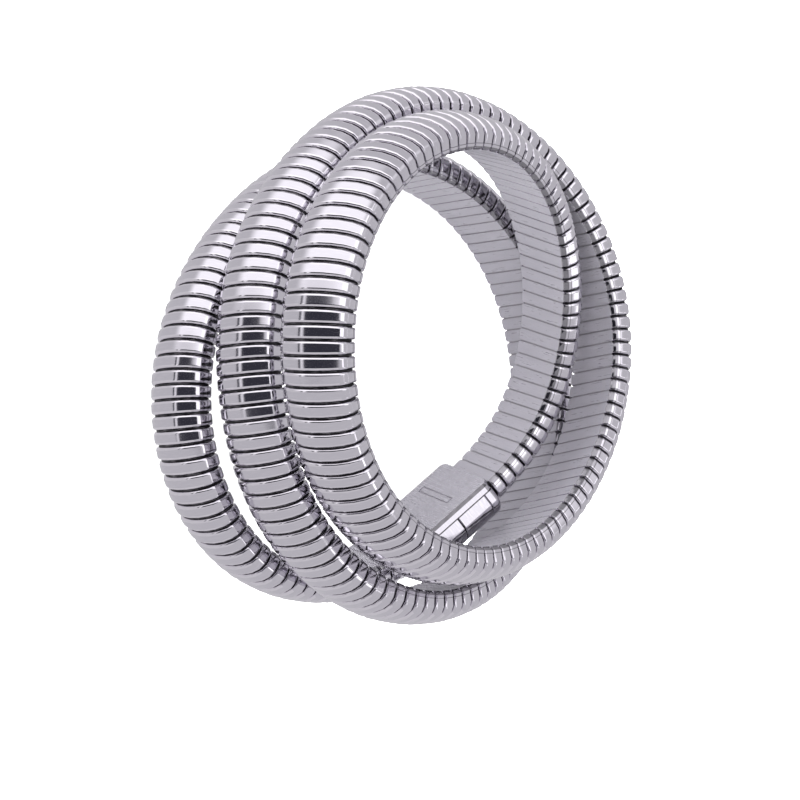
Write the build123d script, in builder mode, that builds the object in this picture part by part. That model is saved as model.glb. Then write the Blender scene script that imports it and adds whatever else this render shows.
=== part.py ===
from build123d import *
from math import cos, floor, pi, radians, sin
import os

os.makedirs("parts", exist_ok=True)

# A ribbed D-section metal band, wound three times round the wrist and closed by one
# rigid clasp. It lies on its side: Z is the wrist's axis, the floor is Z = 0, and the
# band's flat inner face looks at the axis.

# Band, mm
band_width = 10.0
band_thickness = 4.45
wall_height = 2.0
flat_bevel = 0.55
rib_count = 297
groove_width = 0.46
groove_depth = 0.36

# Coil, mm. The shifts bring the middle of its box over the origin, and floor_lift its
# lowest rib onto the floor.
coil_radius = 25.0
turn_gap = 0.25
neutral_height = 0.3 * band_thickness
coil_shift_x = 0.52
coil_shift_y = 0.15
floor_lift = -0.02

# Clasp, mm. Its heights are measured from the band's flat face, outwards.
clasp_half_length = 6.4
clasp_front = 5.9
clasp_rear = 6.7
clasp_lean = 0.8
clasp_bottom = -0.85
clasp_wall_top = 1.9
clasp_crown = 5.7
plate_thickness = 1.3
seam_gap = 0.1
socket_end_gap = 0.25
plug_end_gap = 0.6
tongue_width = 6.0
tongue_thickness = 1.6
tongue_length = 4.4
tongue_clearance = 0.15
tongue_middle = 2.3
tongue_root = 1.0
mark_length = 7.4
mark_width = 1.1
mark_line = 0.2
mark_depth = 0.15
mark_from_seam = 1.3
mark_to_rear = 0.5

# Where the clasp's seam lies along the coil, in turns
seam_turn = 0.712

# The band's route round the wrist, ten rows to a turn, joined by a smooth cubic. Each row
# gives how far the flat face lies beyond coil_radius, in layers of band, how high its mid
# line lies, in widths of band, and how far its dome is turned up to the front, in degrees.
# It starts on the left of the front turn, goes inside on the right down to the rear turn,
# and comes back to the front through the middle one.
route_rows = [
    # out, up, lean
    (0.00, 2.78, 10),
    (0.23, 2.75, 10),
    (0.41, 2.55, 11),
    (0.36, 2.33, 9),
    (-0.06, 1.87, 9),
    (-0.71, 1.61, 10),
    (-0.87, 1.36, 6),
    (-1.03, 1.04, -4),
    (0.49, 0.67, -11),
    (1.72, 0.77, -4),
    (0.86, 0.57, -3),
    (-0.11, 0.52, -9),
    (-0.43, 0.51, -10),
    (-0.27, 0.54, -6),
    (0.11, 0.61, -2),
    (0.52, 0.74, 0),
    (0.88, 0.96, 0),
    (0.96, 1.40, 2),
    (1.15, 1.83, 3),
    (0.83, 1.75, 4),
    (0.21, 1.66, 4),
    (0.18, 1.47, 2),
    (0.57, 1.52, 1),
    (1.34, 1.33, -1),
    (1.13, 1.65, 1),
    (0.73, 1.93, 7),
    (0.24, 2.10, 11),
    (-0.02, 2.23, 8),
    (-0.15, 2.48, 9),
    (-0.17, 2.60, 12),
]
rows_per_turn = 10
steps_per_row = 16

# How far along the route, in turns, its direction is looked for on either side
look_ahead = 0.002

# The dome over the side walls: shares of half the width and of the dome's height
dome_corners = [
    # across, high
    (0.97, 0.38),
    (0.48, 0.96),
]


def route_values(turn):
    """Distance out, height and lean at a turn, eased over the four rows around it."""
    row = turn * rows_per_turn
    first = floor(row)
    t = row - first
    weights = (
        (1 - t) ** 3 / 6,
        (3 * t**3 - 6 * t**2 + 4) / 6,
        (-3 * t**3 + 3 * t**2 + 3 * t + 1) / 6,
        t**3 / 6,
    )
    rows = [route_rows[(first - 1 + i) % len(route_rows)] for i in range(4)]
    out, up, lean = (sum(w * r[k] for w, r in zip(weights, rows)) for k in range(3))
    return (
        coil_radius + out * (band_thickness + turn_gap),
        up * (band_width + turn_gap) + floor_lift,
        lean,
    )


def route_point(turn):
    """The middle of the band's flat face at a turn."""
    radius, height, lean = route_values(turn)
    angle = pi - 2 * pi * turn
    return Vector(radius * cos(angle) + coil_shift_x, radius * sin(angle) + coil_shift_y, height)


def turn_plane(turn):
    """Plane across the band: X towards its rear edge, Y outwards, Z along it."""
    lean = radians(route_values(turn)[2])
    along = (route_point(turn + look_ahead) - route_point(turn - look_ahead)).normalized()
    angle = pi - 2 * pi * turn
    front = along.cross(Vector(cos(angle), sin(angle), 0)).normalized()
    outward = front.cross(along)
    rear = -front * cos(lean) + outward * sin(lean)
    return Plane(origin=route_point(turn), x_dir=rear, z_dir=along)


# The length of band up to each step of the route, along the line that keeps its length
# when the band bends
step_count = len(route_rows) * steps_per_row
step_turns = [i / (rows_per_turn * steps_per_row) for i in range(step_count + 1)]
step_points = [turn_plane(turn).from_local_coords((0, neutral_height, 0)) for turn in step_turns]
step_lengths = [0.0]
for here, there in zip(step_points, step_points[1:]):
    step_lengths.append(step_lengths[-1] + (there - here).length)
loop_length = step_lengths[-1]


def length_at(turn):
    """Length of the route from its first row to a turn."""
    step = turn * rows_per_turn * steps_per_row
    low = floor(step)
    return step_lengths[low] + (step - low) * (step_lengths[low + 1] - step_lengths[low])


def turn_at(length):
    """The turn at a length along the closed route."""
    length = length % loop_length
    low, high = 0, step_count
    while high - low > 1:
        middle = (low + high) // 2
        if step_lengths[middle] <= length:
            low = middle
        else:
            high = middle
    share = (length - step_lengths[low]) / (step_lengths[high] - step_lengths[low])
    return step_turns[low] + share * (step_turns[high] - step_turns[low])


def band_plane(length):
    """Plane across the band at a length along it."""
    return turn_plane(turn_at(length))


def band_outline(inset):
    """The D outline of the band, all but its flat face set in by inset, side for side."""
    half = band_width / 2 - inset
    dome = (band_thickness - wall_height) * half / (band_width / 2)
    wall = band_thickness - inset - dome
    right = [(half - flat_bevel, 0), (half, flat_bevel)]
    right += [(half * across, wall + dome * high) for across, high in dome_corners]
    return right + [(-x, y) for x, y in reversed(right)]


# The band runs from the clasp's one end all the way round to its other end
seam_length = length_at(seam_turn)
band_start = seam_length + clasp_half_length + plug_end_gap
band_length = loop_length - 2 * clasp_half_length - plug_end_gap - socket_end_gap
rib_pitch = band_length / rib_count
half_count = rib_count // 2


def rib_rings(first, last):
    """Length and inset of the rings round the ribs: two on each rib, one in each groove."""
    rings = []
    for rib in range(first, last):
        start = band_start + rib * rib_pitch
        rings.append((start + (groove_width / 2 if rib > 0 else 0), 0))
        rings.append((start + rib_pitch - (groove_width / 2 if rib < rib_count - 1 else 0), 0))
        rings.append((start + rib_pitch, groove_depth))
    if first > 0:
        rings.insert(0, (band_start + first * rib_pitch, groove_depth))
    if last == rib_count:
        rings.pop()
    return rings


with BuildPart() as band_rear_turns:
    for length, inset in rib_rings(0, half_count):
        with BuildSketch(band_plane(length)):
            Polygon(*band_outline(inset), align=None)
    loft(ruled=True)
band_rear_turns.part.label = "band_rear_turns"
export_step(band_rear_turns.part, "parts/band_rear_turns.step")

with BuildPart() as band_front_turns:
    for length, inset in rib_rings(half_count, rib_count):
        with BuildSketch(band_plane(length)):
            Polygon(*band_outline(inset), align=None)
    loft(ruled=True)
band_front_turns.part.label = "band_front_turns"
export_step(band_front_turns.part, "parts/band_front_turns.step")

# The clasp is straight. It reaches further to the rear than to the front, so it has its own
# plane, over its own middle. Its flat plate lies inside, on the wrist's side of both
# halves, and belongs to the socket.
seam_plane = band_plane(seam_length)
clasp_plane = Plane(
    origin=seam_plane.from_local_coords(((clasp_rear - clasp_front) / 2, 0, 0)),
    x_dir=seam_plane.x_dir,
    z_dir=seam_plane.z_dir,
)
clasp_half_width = (clasp_front + clasp_rear) / 2
clasp_dome = clasp_crown - clasp_wall_top
plate_top = clasp_bottom + plate_thickness
plate_share = plate_thickness / (clasp_wall_top - clasp_bottom)
plate_edge = clasp_half_width - clasp_lean * (1 - plate_share)
slot_depth = tongue_length + tongue_clearance


with BuildPart() as clasp_socket:
    with BuildSketch(clasp_plane.offset(-seam_gap / 2)):
        with BuildLine():
            Polyline(
                (-clasp_half_width, clasp_wall_top),
                (-clasp_half_width + clasp_lean, clasp_bottom),
                (clasp_half_width - clasp_lean, clasp_bottom),
                (clasp_half_width, clasp_wall_top),
            )
            EllipticalCenterArc((0, clasp_wall_top), clasp_half_width, clasp_dome, 0, arc_size=180)
        make_face()
    extrude(amount=seam_gap / 2 - clasp_half_length)
    with BuildSketch(clasp_plane.offset(clasp_half_length)):
        Polygon(
            (-plate_edge, plate_top - seam_gap),
            (-clasp_half_width + clasp_lean, clasp_bottom),
            (clasp_half_width - clasp_lean, clasp_bottom),
            (plate_edge, plate_top - seam_gap),
            align=None,
        )
    extrude(amount=-clasp_half_length - 2 * seam_gap)
    with BuildSketch(clasp_plane):
        with Locations((0, tongue_middle)):
            Rectangle(tongue_width + 2 * tongue_clearance, tongue_thickness + 2 * tongue_clearance)
    extrude(amount=-slot_depth, mode=Mode.SUBTRACT)
    mark_plane = Plane(
        origin=clasp_plane.from_local_coords((mark_to_rear, clasp_bottom, -mark_from_seam)),
        x_dir=clasp_plane.x_dir,
        z_dir=-clasp_plane.y_dir,
    )
    with BuildSketch(mark_plane):
        Rectangle(mark_length, mark_width)
        Rectangle(mark_length - 2 * mark_line, mark_width - 2 * mark_line, mode=Mode.SUBTRACT)
    extrude(amount=-mark_depth, both=True, mode=Mode.SUBTRACT)
clasp_socket.part.label = "clasp_socket"
export_step(clasp_socket.part, "parts/clasp_socket.step")

with BuildPart() as clasp_plug:
    with BuildSketch(clasp_plane.offset(seam_gap / 2)):
        with BuildLine():
            Polyline(
                (-clasp_half_width, clasp_wall_top),
                (-plate_edge, plate_top),
                (plate_edge, plate_top),
                (clasp_half_width, clasp_wall_top),
            )
            EllipticalCenterArc((0, clasp_wall_top), clasp_half_width, clasp_dome, 0, arc_size=180)
        make_face()
    extrude(amount=clasp_half_length - seam_gap / 2)
    with BuildSketch(clasp_plane.offset(tongue_root)):
        with Locations((0, tongue_middle)):
            Rectangle(tongue_width, tongue_thickness)
    extrude(amount=-tongue_length - tongue_root)
clasp_plug.part.label = "clasp_plug"
export_step(clasp_plug.part, "parts/clasp_plug.step")
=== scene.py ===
from math import cos, pi, radians, sin

import bmesh
import bpy
import numpy as np
from mathutils import Matrix, Vector


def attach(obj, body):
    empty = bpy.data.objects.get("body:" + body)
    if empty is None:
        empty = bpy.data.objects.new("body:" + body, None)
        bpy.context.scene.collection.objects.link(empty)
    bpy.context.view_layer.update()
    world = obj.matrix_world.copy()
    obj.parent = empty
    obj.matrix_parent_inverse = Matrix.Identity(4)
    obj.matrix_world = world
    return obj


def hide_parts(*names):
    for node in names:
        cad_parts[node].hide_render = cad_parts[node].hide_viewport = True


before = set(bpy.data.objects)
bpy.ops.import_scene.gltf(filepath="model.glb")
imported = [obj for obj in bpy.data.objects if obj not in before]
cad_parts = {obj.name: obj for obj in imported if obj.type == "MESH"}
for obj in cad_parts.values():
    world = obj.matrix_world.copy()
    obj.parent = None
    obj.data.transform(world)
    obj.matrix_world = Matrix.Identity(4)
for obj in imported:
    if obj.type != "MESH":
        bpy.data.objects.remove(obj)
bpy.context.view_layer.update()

mm = 0.001

# The ribs. The real band is a flexible tube of D-shaped steel ribs, each rolled from
# strip, its dome polished and its flat inner face left satin. Each rib is hooked into
# the next, so between two of them only a narrow groove with the tube's core shows.

band_width = 10.0 * mm
band_thickness = 4.45 * mm
wall_height = 2.1 * mm
flat_bevel = 0.55 * mm
rib_count = 297
rib_gap = 0.22 * mm
rib_shoulder = 0.34 * mm
rib_foot = 0.15 * mm
rib_dome_sides = 8

coil_radius = 25.0 * mm
turn_gap = 0.25 * mm
neutral_height = 0.3 * band_thickness
coil_shift_x = 0.52 * mm
coil_shift_y = 0.15 * mm
floor_lift = -0.02 * mm
seam_turn = 0.712
clasp_half_length = 6.4 * mm
socket_end_gap = 0.25 * mm
plug_end_gap = 0.6 * mm

# The band's way round the wrist, ten rows to a turn: layers of band beyond coil_radius,
# widths of band above the floor, and degrees that its dome is turned up to the front
route_rows = [
    # out, up, lean
    (0.00, 2.78, 10),
    (0.23, 2.75, 10),
    (0.41, 2.55, 11),
    (0.36, 2.33, 9),
    (-0.06, 1.87, 9),
    (-0.71, 1.61, 10),
    (-0.87, 1.36, 6),
    (-1.03, 1.04, -4),
    (0.49, 0.67, -11),
    (1.72, 0.77, -4),
    (0.86, 0.57, -3),
    (-0.11, 0.52, -9),
    (-0.43, 0.51, -10),
    (-0.27, 0.54, -6),
    (0.11, 0.61, -2),
    (0.52, 0.74, 0),
    (0.88, 0.96, 0),
    (0.96, 1.40, 2),
    (1.15, 1.83, 3),
    (0.83, 1.75, 4),
    (0.21, 1.66, 4),
    (0.18, 1.47, 2),
    (0.57, 1.52, 1),
    (1.34, 1.33, -1),
    (1.13, 1.65, 1),
    (0.73, 1.93, 7),
    (0.24, 2.10, 11),
    (-0.02, 2.23, 8),
    (-0.15, 2.48, 9),
    (-0.17, 2.60, 12),
]
rows_per_turn = 10
steps_per_row = 16

# How far along the route, in turns, its direction is looked for on either side
look_ahead = 0.002


def route_values(turns):
    """Distance out, height and lean at each turn, eased over the four rows around it."""
    rows = np.asarray(turns) * rows_per_turn
    first = np.floor(rows).astype(int)
    t = rows - first
    weights = [(1 - t) ** 3, 3 * t**3 - 6 * t**2 + 4, -3 * t**3 + 3 * t**2 + 3 * t + 1, t**3]
    table = np.array(route_rows)
    values = sum(w[:, None] * table[(first - 1 + i) % len(table)] for i, w in enumerate(weights)) / 6
    out = coil_radius + values[:, 0] * (band_thickness + turn_gap)
    up = values[:, 1] * (band_width + turn_gap) + floor_lift
    return out, up, np.radians(values[:, 2])


def route_points(turns):
    """The middle of the band's flat face at each turn."""
    out, up = route_values(turns)[:2]
    angle = pi - 2 * pi * np.asarray(turns)
    across = (out * np.cos(angle) + coil_shift_x, out * np.sin(angle) + coil_shift_y, up)
    return np.stack(across, axis=1)


def unit(vectors):
    return vectors / np.linalg.norm(vectors, axis=1, keepdims=True)


def route_frames(turns):
    """At each turn the flat face's middle, the way to its rear edge and the way out."""
    lean = route_values(turns)[2][:, None]
    angle = pi - 2 * pi * np.asarray(turns)
    radial = np.stack((np.cos(angle), np.sin(angle), 0 * angle), axis=1)
    along = unit(route_points(turns + look_ahead) - route_points(turns - look_ahead))
    front = unit(np.cross(along, radial))
    outward = np.cross(front, along)
    rear = outward * np.sin(lean) - front * np.cos(lean)
    return route_points(turns), rear, np.cross(along, rear)


# The line that keeps its length when the band bends, measured step by step
step_turns = np.arange(len(route_rows) * steps_per_row + 1) / (rows_per_turn * steps_per_row)
flat_middles, _, step_outs = route_frames(step_turns)
neutral_line = flat_middles + neutral_height * step_outs
step_lengths = np.append(0, np.cumsum(np.linalg.norm(np.diff(neutral_line, axis=0), axis=1)))
loop_length = step_lengths[-1]
seam_length = np.interp(seam_turn, step_turns, step_lengths)
band_start = seam_length + clasp_half_length + plug_end_gap
band_length = loop_length - 2 * clasp_half_length - plug_end_gap - socket_end_gap
rib_pitch = band_length / rib_count


def bend_onto_route(points, start):
    """Straight points, X to the rear, Y out and Z along, laid onto the route at start."""
    lengths = (start + points[:, 2]) % loop_length
    middles, rears, outs = route_frames(np.interp(lengths, step_lengths, step_turns))
    return middles + points[:, :1] * rears + points[:, 1:2] * outs


def start_piece(name):
    """Names the primitive just added and leaves it alone in edit mode, all selected."""
    piece = bpy.context.object
    piece.name = name
    piece.data.name = name
    bpy.ops.object.mode_set(mode="EDIT")
    bpy.ops.mesh.select_all(action="SELECT")
    return piece


def pick(piece, kind, test):
    """Selects, in edit mode, just the verts, edges or faces whose middle passes the test."""
    bpy.ops.mesh.select_mode(type={"verts": "VERT", "edges": "EDGE", "faces": "FACE"}[kind])
    bpy.ops.mesh.select_all(action="DESELECT")
    mesh = bmesh.from_edit_mesh(piece.data)
    for item in getattr(mesh, kind):
        corners = [item] if kind == "verts" else item.verts
        middle = sum((v.co for v in corners), Vector()) / len(corners)
        item.select_set(test(middle, item))
    mesh.select_flush_mode()
    bmesh.update_edit_mesh(piece.data)


# Outlines start from a circle that is a little too large, so that the few chords of a
# rib's dome lie half outside and half inside the ellipse
dome_swell = 1.01

# What is picked by its place or its direction may be off by the slack, or may be only
# nearly there
slack = 0.01 * mm
nearly = 0.9


def draw_d_face(name, width, top, wall, corners, dome_sides):
    """A flat face with the D outline, half an ellipse in chords over two side walls.

    The side walls go down from the height wall to the corners, each a height and an inset.
    """
    bpy.ops.object.select_all(action="DESELECT")
    bpy.ops.mesh.primitive_circle_add(
        vertices=2 * dome_sides, radius=dome_swell, fill_type="NOTHING"
    )
    piece = start_piece(name)
    bpy.ops.transform.resize(value=(width / 2, top - wall, 1))
    pick(piece, "verts", lambda at, item: at.y < -slack)
    bpy.ops.mesh.delete(type="VERT")
    bpy.ops.mesh.select_all(action="SELECT")
    bpy.ops.transform.translate(value=(0, wall, 0))
    pick(piece, "verts", lambda at, item: at.y < wall + slack)
    for (before, inset_before), (height, inset) in zip([(wall, 0)] + corners, corners):
        drop = (0, height - before, 0)
        bpy.ops.mesh.extrude_vertices_move(TRANSFORM_OT_translate={"value": drop})
        bpy.ops.transform.resize(value=((width / 2 - inset) / (width / 2 - inset_before), 1, 1))
    bpy.ops.mesh.select_all(action="SELECT")
    bpy.ops.mesh.edge_face_add()
    return piece


def lengthen(piece, half_width, top, foot, rings):
    """Extrudes the selected face through rings of height along Z and inset of the outline.

    The outline narrows towards a point as high as foot, on or over its flat side's middle.
    """
    for (before, inset_before), (after, inset_after) in zip(rings, rings[1:]):
        push = (0, 0, after - before)
        bpy.ops.mesh.extrude_region_move(TRANSFORM_OT_translate={"value": push})
        narrow(half_width, top - foot, foot, inset_before, inset_after)
    bpy.ops.mesh.select_all(action="SELECT")
    bpy.ops.mesh.normals_make_consistent(inside=False)


def narrow(half_width, rise, foot, before, after):
    across, high = (half_width - after) / (half_width - before), (rise - after) / (rise - before)
    bpy.ops.transform.resize(value=(across, high, 1), center_override=(0, foot, 0))


# How far the middle of a rounded corner stays from both its sides, in shares of its radius
arc_middle = 0.29

# Edges that bend by more than this stay sharp, and those near the flat face from less
rib_sharp = radians(50)
flat_sharp = radians(40)
near_flat = nearly * flat_bevel


def model_rib():
    """One straight rib, from its first end to its last, with rounded shoulders."""
    corners = [(flat_bevel, 0), (0, flat_bevel)]
    rib = draw_d_face("rib", band_width, band_thickness, wall_height, corners, rib_dome_sides)
    middle = arc_middle * rib_shoulder
    shoulder = [(0, rib_shoulder), (middle, middle), (rib_shoulder, 0)]
    rib_length = rib_pitch - rib_gap
    rings = shoulder + [(rib_length - z, inset) for z, inset in reversed(shoulder)]
    bpy.ops.mesh.select_all(action="SELECT")
    bpy.ops.transform.translate(value=(0, 0, rib_gap / 2))
    narrow(band_width / 2, band_thickness - rib_foot, rib_foot, 0, rib_shoulder)
    lengthen(rib, band_width / 2, band_thickness, rib_foot, rings)
    pick(rib, "edges", lambda at, item: item.calc_face_angle(0) > rib_sharp)
    bpy.ops.mesh.mark_sharp()
    pick(rib, "edges", lambda at, item: at.y < near_flat and item.calc_face_angle(0) > flat_sharp)
    bpy.ops.mesh.mark_sharp()
    bpy.ops.object.mode_set(mode="OBJECT")
    return rib


def repeat_along_route(name, straight, starts):
    """Joined copies of a straight piece, each bent onto the route, mapped for its finish."""
    corners = np.array([v.co for v in straight.data.vertices])
    faces = [list(p.vertices) for p in straight.data.polygons]
    laid = np.concatenate([bend_onto_route(corners, start) for start in starts])
    repeated = [[i + n * len(corners) for i in face] for n in range(len(starts)) for face in faces]
    mesh = bpy.data.meshes.new(name)
    mesh.from_pydata(laid.tolist(), [], repeated)
    sharp = {frozenset(e.vertices) for e in straight.data.edges if e.use_edge_sharp}
    for edge in mesh.edges:
        edge.use_edge_sharp = frozenset(v % len(corners) for v in edge.vertices) in sharp
    piece = bpy.data.objects.new(name, mesh)
    bpy.context.collection.objects.link(piece)
    unrolled = np.concatenate([corners + (0, 0, start) for start in starts])
    remember_straight(mesh, unrolled)
    finish_shading(piece)
    return piece


def remember_straight(mesh, unrolled):
    """Keeps where each corner lay before bending, for the finish to be mapped by."""
    layer = mesh.attributes.new("unrolled", "FLOAT_VECTOR", "POINT")
    layer.data.foreach_set("vector", unrolled.astype(np.float32).ravel())


# Faces whose areas differ by less than this count as equally big for the shading
like_area = 0.5 * mm * mm


def activate(piece):
    bpy.ops.object.select_all(action="DESELECT")
    piece.select_set(True)
    bpy.context.view_layer.objects.active = piece


def finish_shading(piece):
    """Smooth shading up to the sharp edges, big faces keeping their own direction."""
    activate(piece)
    bpy.ops.object.shade_smooth(keep_sharp_edges=True)
    bpy.ops.object.modifier_add(type="WEIGHTED_NORMAL")
    piece.modifiers[-1].keep_sharp = True
    piece.modifiers[-1].weight = 100
    piece.modifiers[-1].thresh = like_area
    bpy.ops.object.modifier_apply(modifier=piece.modifiers[-1].name)


class Wire:
    """A socket that can be reckoned with: a + b, a - b, a * b, a / b and abs(a) add Math nodes."""

    def __init__(self, tree, socket):
        self.tree, self.socket = tree, socket

    def _join(self, operation, a, b):
        return add_node(self.tree, "ShaderNodeMath", {"operation": operation}, {0: a, 1: b})[0]

    def __add__(self, other):
        return self._join("ADD", self, other)

    def __radd__(self, other):
        return self._join("ADD", other, self)

    def __sub__(self, other):
        return self._join("SUBTRACT", self, other)

    def __rsub__(self, other):
        return self._join("SUBTRACT", other, self)

    def __mul__(self, other):
        return self._join("MULTIPLY", self, other)

    def __rmul__(self, other):
        return self._join("MULTIPLY", other, self)

    def __truediv__(self, other):
        return self._join("DIVIDE", self, other)

    def __rtruediv__(self, other):
        return self._join("DIVIDE", other, self)

    def __abs__(self):
        return self._join("ABSOLUTE", self, 0.0)


def add_node(tree, kind, settings, inputs):
    """Adds a node, sets it up, feeds its sockets, and returns its outputs as wires."""
    node = tree.nodes.new(kind)
    for key, value in settings.items():
        setattr(node, key, value)
    for key, value in inputs.items():
        if isinstance(value, Wire):
            tree.links.new(value.socket, node.inputs[key])
        else:
            node.inputs[key].default_value = value
    return [Wire(tree, output) for output in node.outputs]


def step(tree, value, start, end):
    """A smooth 0 to 1 as a value goes from start to end."""
    limits = {"Value": value, "From Min": start, "From Max": end, "To Min": 0.0, "To Max": 1.0}
    return add_node(tree, "ShaderNodeMapRange", {"interpolation_type": "SMOOTHSTEP"}, limits)[0]


def mix(tree, share, plain, other):
    """A colour that goes from plain to other as the share goes from 0 to 1."""
    ends = {"Factor": share, 6: plain, 7: other}
    return add_node(tree, "ShaderNodeMix", {"data_type": "RGBA"}, ends)[2]


def grain(tree, place, fineness, detail):
    """Noise about 0.5. Fineness says how fine it is, per metre, along each axis."""
    axes = {axis: way * count for axis, (way, count) in enumerate(zip(place, fineness))}
    spread = add_node(tree, "ShaderNodeCombineXYZ", {}, axes)[0]
    look = {"Vector": spread, "Scale": 1.0, "Detail": detail}
    return add_node(tree, "ShaderNodeTexNoise", {}, look)[0]


# Where each finish starts and where it is complete: the satin and the foot's painted shade
# above the flat face, the wall beyond its half width, the fine line from its own middle. The
# shoulder's painted highlight is a share of a rib.
flat_fade = (0.10 * mm, 0.02 * mm)
wall_fade = (-0.01 * mm, 0.03 * mm)
shaded_foot_fade = (0.60 * mm, 0.52 * mm)
line_fade = (0.09 * mm, 0.04 * mm)
shoulder_fade = 0.02

# Grain across, out and along, per metre: hairlines and streaks run across the band
hair_grain = (180, 180, 9000)
streak_grain = (700, 700, 5000)
cloud_grain = (900, 900, 900)

# How much each finish counts
line_dark = 0.5
# foot_shade is the share of the steel's colour left in the foot's painted shade and in the fine line
foot_shade = 0.2
foot_clouds = 0.5
# The shoulders are lightened with a painted highlight
highlight_colour = (0.99, 0.96, 1.0)
highlight_share = 0.5
streak_share = 0.7
flat_hairs = 0.4
flat_dullness = 0.4
cloud_rough = 0.05
hair_rough = 0.16
dent_depth = 0.006 * mm
hair_dents = 0.5
cloud_dents = 0.25
wall_roll = 0.30


def steel(
    name, colour, flat_colour, polish, satin,
    flat, flat_half, foot_painted_shade, line_height, shoulder, wall_top,
):
    """Polished steel. Its inner face, at the height flat, is satin and scratched across.

    The side walls, beyond flat_half, have a foot darkened with painted shade and a fine line where
    the strip's two edges meet. The shoulders, that share of a rib at each end, carry a painted
    highlight. Up to wall_top the walls are rolled a little inwards, which the bumps show.
    """
    material = bpy.data.materials.new(name)
    material.use_nodes = True
    tree = material.node_tree
    tree.nodes.clear()
    unrolled = add_node(tree, "ShaderNodeAttribute", {"attribute_name": "unrolled"}, {})[1]
    across, out, along = add_node(tree, "ShaderNodeSeparateXYZ", {}, {0: unrolled})
    hairs = grain(tree, (across, out, along), hair_grain, detail=3.0)
    streaks = grain(tree, (across, out, along), streak_grain, detail=2.0)
    clouds = grain(tree, (across, out, along), cloud_grain, detail=4.0)

    inner = step(tree, out, flat + flat_fade[0], flat + flat_fade[1])
    wall = step(tree, abs(across), flat_half + wall_fade[0], flat_half + wall_fade[1])
    # The foot of the walls, darkened with painted shade
    foot = step(tree, out, flat + shaded_foot_fade[0], flat + shaded_foot_fade[1])
    line = step(tree, abs(out - line_height), *line_fade)
    edge = wall * (foot * foot_painted_shade + line * line_dark)
    ribs = (along - band_start) / rib_pitch
    place = add_node(tree, "ShaderNodeMath", {"operation": "FRACT"}, {0: ribs})[0]
    # The shoulders' painted highlight, on the dome side only
    shoulder_start = 0.5 - shoulder
    shoulder_highlight = step(tree, abs(place - 0.5), shoulder_start - shoulder_fade, shoulder_start + shoulder_fade)
    shoulder_highlight = shoulder_highlight * (1 - inner) * (1 - wall)

    # The foot's painted shade and the fine seam line share this dark colour
    painted_shade_and_seam_colour = [share * foot_shade for share in colour]
    highlight_or_streaked = shoulder_highlight * highlight_share + (streaks - 0.5) * streak_share
    tint = mix(tree, highlight_or_streaked, (*colour, 1), (*highlight_colour, 1))
    tint = mix(tree, inner * (1 + (hairs - 0.5) * flat_hairs), tint, (*flat_colour, 1))
    tint = mix(tree, edge * (1 + (clouds - 0.5) * foot_clouds), tint, (*painted_shade_and_seam_colour, 1))
    rough = polish + inner * (satin - polish) + (clouds - 0.5) * cloud_rough
    rough = rough + inner * (hairs - 0.5) * hair_rough

    below = add_node(tree, "ShaderNodeMath", {"operation": "MAXIMUM"}, {0: wall_top - out, 1: 0.0})[0]
    relief = inner * (hairs * hair_dents + clouds) + clouds * cloud_dents
    relief = relief - below * (wall_roll / dent_depth)
    dents = add_node(
        tree, "ShaderNodeBump", {}, {"Strength": 1.0, "Distance": dent_depth, "Height": relief},
    )[0]
    metal = add_node(
        tree, "ShaderNodeBsdfPrincipled", {},
        {"Base Color": tint, "Metallic": 1 - inner * flat_dullness, "Roughness": rough, "Normal": dents},
    )[0]
    add_node(tree, "ShaderNodeOutputMaterial", {}, {"Surface": metal})
    return material


band_steel = steel(
    "band_steel", colour=(0.74, 0.72, 0.77), flat_colour=(0.395, 0.383, 0.425), polish=0.10, satin=0.30,
    flat=0, flat_half=band_width / 2 - flat_bevel, foot_painted_shade=0.7, line_height=0.95 * mm,
    shoulder=(rib_gap / 2 + rib_shoulder) / rib_pitch, wall_top=wall_height,
)

straight_rib = model_rib()
half_count = rib_count // 2
rib_runs = {
    "band_rear_turns": range(0, half_count),
    "band_front_turns": range(half_count, rib_count),
}
for node_name, ribs in rib_runs.items():
    piece_name = node_name.replace("turns", "ribs")
    run = repeat_along_route(piece_name, straight_rib, [band_start + rib * rib_pitch for rib in ribs])
    run.data.materials.append(band_steel)
    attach(run, "root")
    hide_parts(node_name)
bpy.data.objects.remove(straight_rib)


# The core. The tube that the ribs are hooked round, seen only at the bottom of the grooves,
# where its nearly black colour is painted shade, runs inside them from one clasp half to the other.

core_inset = 0.42 * mm
core_flat = 0.14 * mm
core_step = 1.0 * mm
core_weld = 0.002 * mm


def model_core_slice(length):
    """A slice of the straight core, a smaller D, as long as the given length."""
    core = draw_d_face(
        "core_slice", band_width - 2 * core_inset, band_thickness - core_inset, wall_height,
        [(core_flat + flat_bevel, 0), (core_flat, flat_bevel)], rib_dome_sides,
    )
    bpy.ops.mesh.select_all(action="SELECT")
    bpy.ops.mesh.extrude_region_move(TRANSFORM_OT_translate={"value": (0, 0, length)})
    bpy.ops.mesh.select_all(action="SELECT")
    bpy.ops.mesh.normals_make_consistent(inside=False)
    pick(core, "faces", lambda at, item: abs(item.normal.z) > nearly)
    bpy.ops.mesh.delete(type="FACE")
    bpy.ops.object.mode_set(mode="OBJECT")
    return core


core_length = band_length + socket_end_gap + plug_end_gap
slice_count = round(core_length / core_step)
slice_length = core_length / slice_count
straight_slice = model_core_slice(slice_length)
slices = [band_start - plug_end_gap + n * slice_length for n in range(slice_count)]
core = repeat_along_route("band_core", straight_slice, slices)
bpy.data.objects.remove(straight_slice)
bpy.ops.object.mode_set(mode="EDIT")
bpy.ops.mesh.select_all(action="SELECT")
bpy.ops.mesh.remove_doubles(threshold=core_weld)
pick(core, "edges", lambda at, item: item.is_boundary)
bpy.ops.mesh.edge_face_add()
bpy.ops.object.mode_set(mode="OBJECT")
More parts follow.
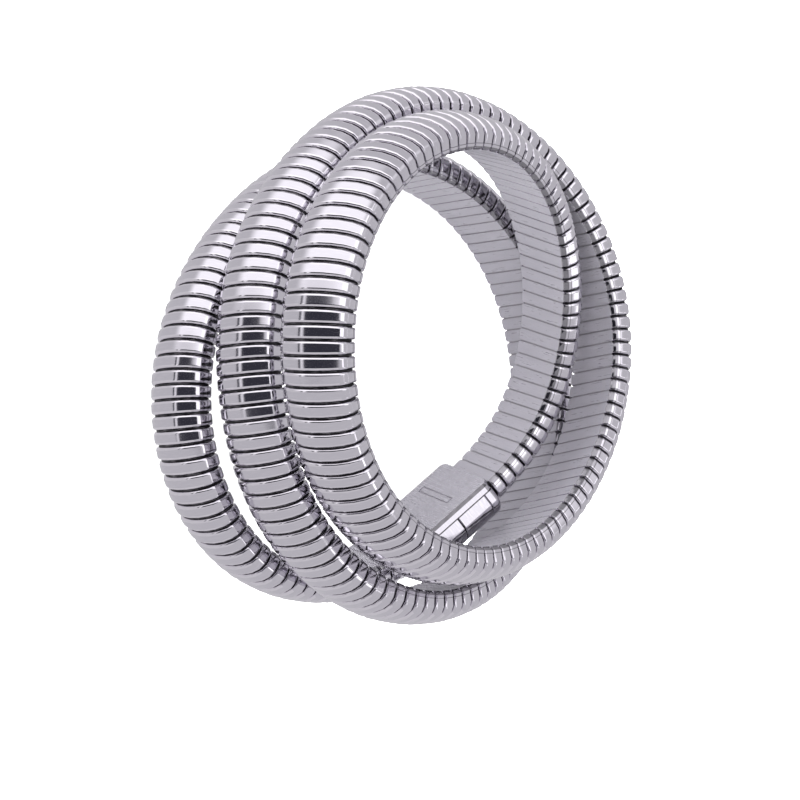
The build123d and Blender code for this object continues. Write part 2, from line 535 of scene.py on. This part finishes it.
# The core's nearly black colour is painted shade for the bottoms of the grooves
core_painted_shade = steel(
    "core_painted_shade", colour=(0.02, 0.019, 0.022), flat_colour=(0.30, 0.29, 0.31), polish=0.5, satin=0.5,
    flat=core_flat, flat_half=band_width / 2 - flat_bevel - core_inset, foot_painted_shade=0, line_height=0,
    shoulder=0, wall_top=0,
)
core.data.materials.append(core_painted_shade)
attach(core, "root")


# The clasp. A straight barrel in two halves, rounded where the ribs begin, lies on a satin
# plate that belongs to the socket. Its tongue and slot are hidden inside, so they are left
# out here. A small rectangle is engraved on the plate.

clasp_front = 5.9 * mm
clasp_rear = 6.7 * mm
clasp_lean = 0.8 * mm
clasp_bottom = -0.85 * mm
clasp_wall_top = 1.9 * mm
clasp_crown = 5.7 * mm
plate_thickness = 1.3 * mm
seam_gap = 0.1 * mm
mark_length = 7.4 * mm
mark_width = 1.1 * mm
mark_line = 0.2 * mm
mark_depth = 0.15 * mm
mark_from_seam = 1.3 * mm
mark_to_rear = 0.5 * mm
plate_corner = 0.9 * mm
plate_corner_sides = 5
barrel_dome_sides = 28
seam_bevel = 0.12 * mm
end_link = 1.6 * mm
end_link_groove = 0.14 * mm
end_round = 0.7 * mm
end_round_stops = (25, 50, 75)
clasp_sharp = radians(38)
clasp_half_width = (clasp_front + clasp_rear) / 2
plate_top = clasp_bottom + plate_thickness
barrel_lean = clasp_lean * (1 - plate_thickness / (clasp_wall_top - clasp_bottom))


def model_barrel(name):
    """One straight half of the barrel, its seam end at Z = 0 and the band's end far along."""
    foot = [(plate_top, barrel_lean)]
    barrel = draw_d_face(
        name, 2 * clasp_half_width, clasp_crown, clasp_wall_top, foot, barrel_dome_sides
    )
    link = clasp_half_length - end_link
    rings = [(seam_gap / 2, seam_bevel), (seam_gap / 2 + seam_bevel, 0)]
    rings += [(link - end_link_groove, 0), (link, end_link_groove), (link + end_link_groove, 0)]
    rings.append((clasp_half_length - end_round, 0))
    for turn in map(radians, end_round_stops):
        rings.append((clasp_half_length - end_round * (1 - sin(turn)), end_round * (1 - cos(turn))))
    bpy.ops.mesh.select_all(action="SELECT")
    bpy.ops.transform.translate(value=(0, 0, rings[0][0]))
    narrow(clasp_half_width, clasp_crown - plate_top, plate_top, 0, seam_bevel)
    lengthen(barrel, clasp_half_width, clasp_crown, plate_top, rings)
    bpy.ops.object.mode_set(mode="OBJECT")
    return barrel


def add_box(name, low, high):
    """A box between two corners, left in edit mode with all of it selected."""
    bpy.ops.object.select_all(action="DESELECT")
    bpy.ops.mesh.primitive_cube_add(size=1)
    box = start_piece(name)
    bpy.ops.transform.resize(value=[b - a for a, b in zip(low, high)])
    bpy.ops.transform.translate(value=[(a + b) / 2 for a, b in zip(low, high)])
    return box


def model_plate():
    """The plate under both halves, wider towards the barrel, its four corners rounded."""
    half, top, end = clasp_half_width - clasp_lean, plate_top - seam_gap, clasp_half_length
    plate = add_box("clasp_plate", (-half, clasp_bottom, -end), (half, top, end))
    pick(plate, "faces", lambda at, item: at.y > top - slack)
    bpy.ops.transform.resize(value=((clasp_half_width - barrel_lean) / half, 1, 1))
    pick(plate, "edges", lambda at, item: abs(at.x) > nearly * half and abs(at.z) > nearly * end)
    bpy.ops.mesh.bevel(offset=plate_corner, segments=plate_corner_sides, affect="EDGES")
    bpy.ops.mesh.select_all(action="SELECT")
    bpy.ops.mesh.normals_make_consistent(inside=False)
    bpy.ops.object.mode_set(mode="OBJECT")
    return plate


def model_mark_cutter():
    """A rectangular frame that stands into the plate as deep as the engraving."""
    bpy.ops.object.select_all(action="DESELECT")
    bpy.ops.mesh.primitive_plane_add(size=1, rotation=(radians(90), 0, 0))
    cutter = start_piece("mark_cutter")
    bpy.ops.transform.resize(value=(mark_length, 1, mark_width))
    bpy.ops.transform.translate(value=(mark_to_rear, clasp_bottom - mark_depth, -mark_from_seam))
    bpy.ops.mesh.inset(thickness=mark_line, depth=0)
    bpy.ops.mesh.delete(type="FACE")
    bpy.ops.mesh.select_all(action="SELECT")
    bpy.ops.mesh.extrude_region_move(TRANSFORM_OT_translate={"value": (0, 2 * mark_depth, 0)})
    bpy.ops.mesh.select_all(action="SELECT")
    bpy.ops.mesh.normals_make_consistent(inside=False)
    bpy.ops.object.mode_set(mode="OBJECT")
    return cutter


def lay_at_seam(piece):
    """Shades a straight clasp piece and lays it where the band's two ends meet."""
    activate(piece)
    bpy.ops.object.mode_set(mode="EDIT")
    pick(piece, "edges", lambda at, item: item.calc_face_angle(0) > clasp_sharp)
    bpy.ops.mesh.mark_sharp()
    bpy.ops.object.mode_set(mode="OBJECT")
    remember_straight(piece.data, np.array([v.co for v in piece.data.vertices]))
    middle, rear, out = (Vector(row[0]) for row in route_frames(np.array([seam_turn])))
    axes = Matrix((rear, out, rear.cross(out))).transposed()
    place = middle + rear * (clasp_rear - clasp_front) / 2
    piece.matrix_world = Matrix.Translation(place) @ axes.to_4x4()
    bpy.ops.object.transform_apply(location=True, rotation=True, scale=True)
    finish_shading(piece)


# The clasp's steel is the band's made darker, painted shade that dulls its bright barrel; the plate's
# foot is darkened with painted shade like the ribs'
clasp_steel = steel(
    "clasp_steel", colour=(0.58, 0.565, 0.605), flat_colour=(0.395, 0.383, 0.425), polish=0.10,
    satin=0.26, flat=clasp_bottom, flat_half=clasp_half_width - clasp_lean, foot_painted_shade=0.9,
    line_height=plate_top, shoulder=0, wall_top=clasp_bottom,
)

# The engraving is cut into the plate
plate = model_plate()
cutter = model_mark_cutter()
activate(plate)
bpy.ops.object.modifier_add(type="BOOLEAN")
plate.modifiers[-1].object = cutter
plate.modifiers[-1].operation = "DIFFERENCE"
plate.modifiers[-1].solver = "EXACT"
bpy.ops.object.modifier_apply(modifier=plate.modifiers[-1].name)
bpy.data.objects.remove(cutter)

# The socket's barrel is the plug's, mirrored at the seam, and is one piece with the plate
socket_barrel = model_barrel("clasp_socket_barrel")
activate(socket_barrel)
bpy.ops.transform.mirror(constraint_axis=(False, False, True))
bpy.ops.object.transform_apply(location=True, rotation=True, scale=True)
bpy.ops.object.mode_set(mode="EDIT")
bpy.ops.mesh.select_all(action="SELECT")
bpy.ops.mesh.normals_make_consistent(inside=False)
bpy.ops.object.mode_set(mode="OBJECT")
activate(plate)
socket_barrel.select_set(True)
bpy.ops.object.join()
plate.name = plate.data.name = "clasp_socket_half"

plug_barrel = model_barrel("clasp_plug_half")
for half, node_name in ((plate, "clasp_socket"), (plug_barrel, "clasp_plug")):
    lay_at_seam(half)
    half.data.materials.append(clasp_steel)
    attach(half, "root")
    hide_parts(node_name)


# The floor, a sheet of white studio paper under an even white sky. The sky lights the
# paper and the dull share of the satin faces. The steel mirrors neither of them, only
# the light tent.

paper_size = 3
paper_white = 0.93
sky_strength = 4.5

bpy.ops.object.select_all(action="DESELECT")
bpy.ops.mesh.primitive_plane_add(size=paper_size, location=(0, 0, 0))
paper = bpy.context.object
paper.name = "paper_floor"
paper_finish = bpy.data.materials.new("paper")
paper_finish.use_nodes = True
shader = paper_finish.node_tree.nodes["Principled BSDF"]
shader.inputs["Base Color"].default_value = (paper_white, paper_white, paper_white, 1)
shader.inputs["Roughness"].default_value = 0.9
shader.inputs["Specular IOR Level"].default_value = 0.0
paper.data.materials.append(paper_finish)
paper.visible_glossy = False

sky = bpy.data.worlds.new("sky")
sky.use_nodes = True
sky_light = sky.node_tree.nodes["Background"]
sky_light.inputs["Color"].default_value = (1, 1, 1, 1)
sky_light.inputs["Strength"].default_value = sky_strength
bpy.context.scene.world = sky


# The light tent, a ball round the bracelet that only the metal mirrors: soft grey, with
# white panels on both sides and a black card on the left, where the camera stands.

tent_radius = 0.8
tent_middle = 16 * mm
tent_grey = 0.59

# The light is a little bluish, most of all where it is dark
tent_green = 0.985
tent_blue = 1.01
dark_blue = 0.012

tent_panels = [
    # name, middle and half width round Z, lower and upper height, softness of the edge, all in
    # degrees, and brightness
    ("left", 117, 29, -42, 56, 16, 1.25),
    ("overhead", 112, 52, 52, 100, 8, 1.5),
    ("zenith", 0, 181, 82, 100, 4, 1.6),
    ("window", 298, 12, 49, 65, 2, 1.75),
    ("above", 11, 8, 53, 62, 3, 0.71),
    ("above_right", 37.5, 12.5, 35, 60, 6, 0.83),
    ("right", 350, 6, 34, 51, 2, 1.6),
    ("low_right", 352.5, 7.5, -40, -30, 2, 1.2),
    ("card", 167, 17, -26, 66, 0.6, 0.04),
    ("card_foot", 167, 17, -36, -32.5, 0.6, 0.05),
    ("card_glow", 167, 17, -31, -28, 0.6, 0.95),
]

bpy.ops.object.select_all(action="DESELECT")
bpy.ops.mesh.primitive_uv_sphere_add(
    segments=48, ring_count=24, radius=tent_radius, location=(0, 0, tent_middle)
)
tent = bpy.context.object
tent.name = "light_tent"
tent_finish = bpy.data.materials.new("tent_light")
tent_finish.use_nodes = True
tree = tent_finish.node_tree
tree.nodes.clear()
place = add_node(tree, "ShaderNodeTexCoord", {}, {})[3]
way = add_node(tree, "ShaderNodeVectorMath", {"operation": "NORMALIZE"}, {0: place})[0]
way_x, way_y, way_z = add_node(tree, "ShaderNodeSeparateXYZ", {}, {0: way})
height = add_node(tree, "ShaderNodeMath", {"operation": "ARCSINE"}, {0: way_z})[0]
shade = tent_grey
for name, middle, half, low, high, soft, brightness in tent_panels:
    panel_x, panel_y = cos(radians(middle)), sin(radians(middle))
    forward = way_x * panel_x + way_y * panel_y
    side = way_y * panel_x - way_x * panel_y
    turned = add_node(tree, "ShaderNodeMath", {"operation": "ARCTAN2"}, {0: side, 1: forward})[0]
    edge = radians(soft) / 2
    inside = step(tree, abs(turned), radians(half) + edge, radians(half) - edge)
    inside = inside * step(tree, height, radians(low) - edge, radians(low) + edge)
    inside = inside * step(tree, height, radians(high) + edge, radians(high) - edge)
    shade = shade + inside * (brightness - shade)
tints = {0: shade, 1: shade * tent_green, 2: shade * tent_blue + dark_blue}
colour = add_node(tree, "ShaderNodeCombineColor", {}, tints)[0]
light = {"Emission Color": colour, "Emission Strength": 1.0}
surface = {"Base Color": (0, 0, 0, 1), "Specular IOR Level": 0.0}
glow = add_node(tree, "ShaderNodeBsdfPrincipled", {}, {**surface, **light})[0]
add_node(tree, "ShaderNodeOutputMaterial", {}, {"Surface": glow})
tent_finish.cycles.emission_sampling = "NONE"
tent.data.materials.append(tent_finish)
tent.visible_camera = False
tent.visible_diffuse = False
tent.visible_shadow = False


# The camera stands where the photograph was taken from, looking down on the coil with
# the wrist's axis tipped to the right. It was fitted to the photograph before the real
# size was settled, and real_size takes its lengths to that size.

real_size = 1.05943
view_turn = radians(40.701)
view_tilt = radians(8.007)
view_roll = radians(-7.078)
aim_height = 14 * real_size * mm
view_distance = 396.033 * real_size * mm
offset_right = 1.155 * real_size * mm
offset_up = 5.408 * real_size * mm
focal_pixels = 3258.472
picture_pixels = 800
sensor_width = 36

aim = Vector((coil_shift_x, coil_shift_y, aim_height + floor_lift))
back = Vector((-sin(view_turn) * cos(view_tilt), sin(view_tilt), cos(view_turn) * cos(view_tilt)))
level = Vector((cos(view_turn), 0, sin(view_turn)))
upright = back.cross(level)
right = level * cos(view_roll) + upright * sin(view_roll)
up = upright * cos(view_roll) - level * sin(view_roll)
camera_data = bpy.data.cameras.new("camera")
camera_data.sensor_width = sensor_width
camera_data.lens = sensor_width * focal_pixels / picture_pixels
camera_data.clip_start = 0.01
camera_data.clip_end = 20
camera = bpy.data.objects.new("camera", camera_data)
bpy.context.collection.objects.link(camera)
place = aim + back * view_distance - right * offset_right - up * offset_up
axes = Matrix((right, up, back)).transposed()
camera.matrix_world = Matrix.Translation(place) @ axes.to_4x4()
bpy.context.scene.camera = camera
bpy.context.scene.view_settings.view_transform = "Standard"
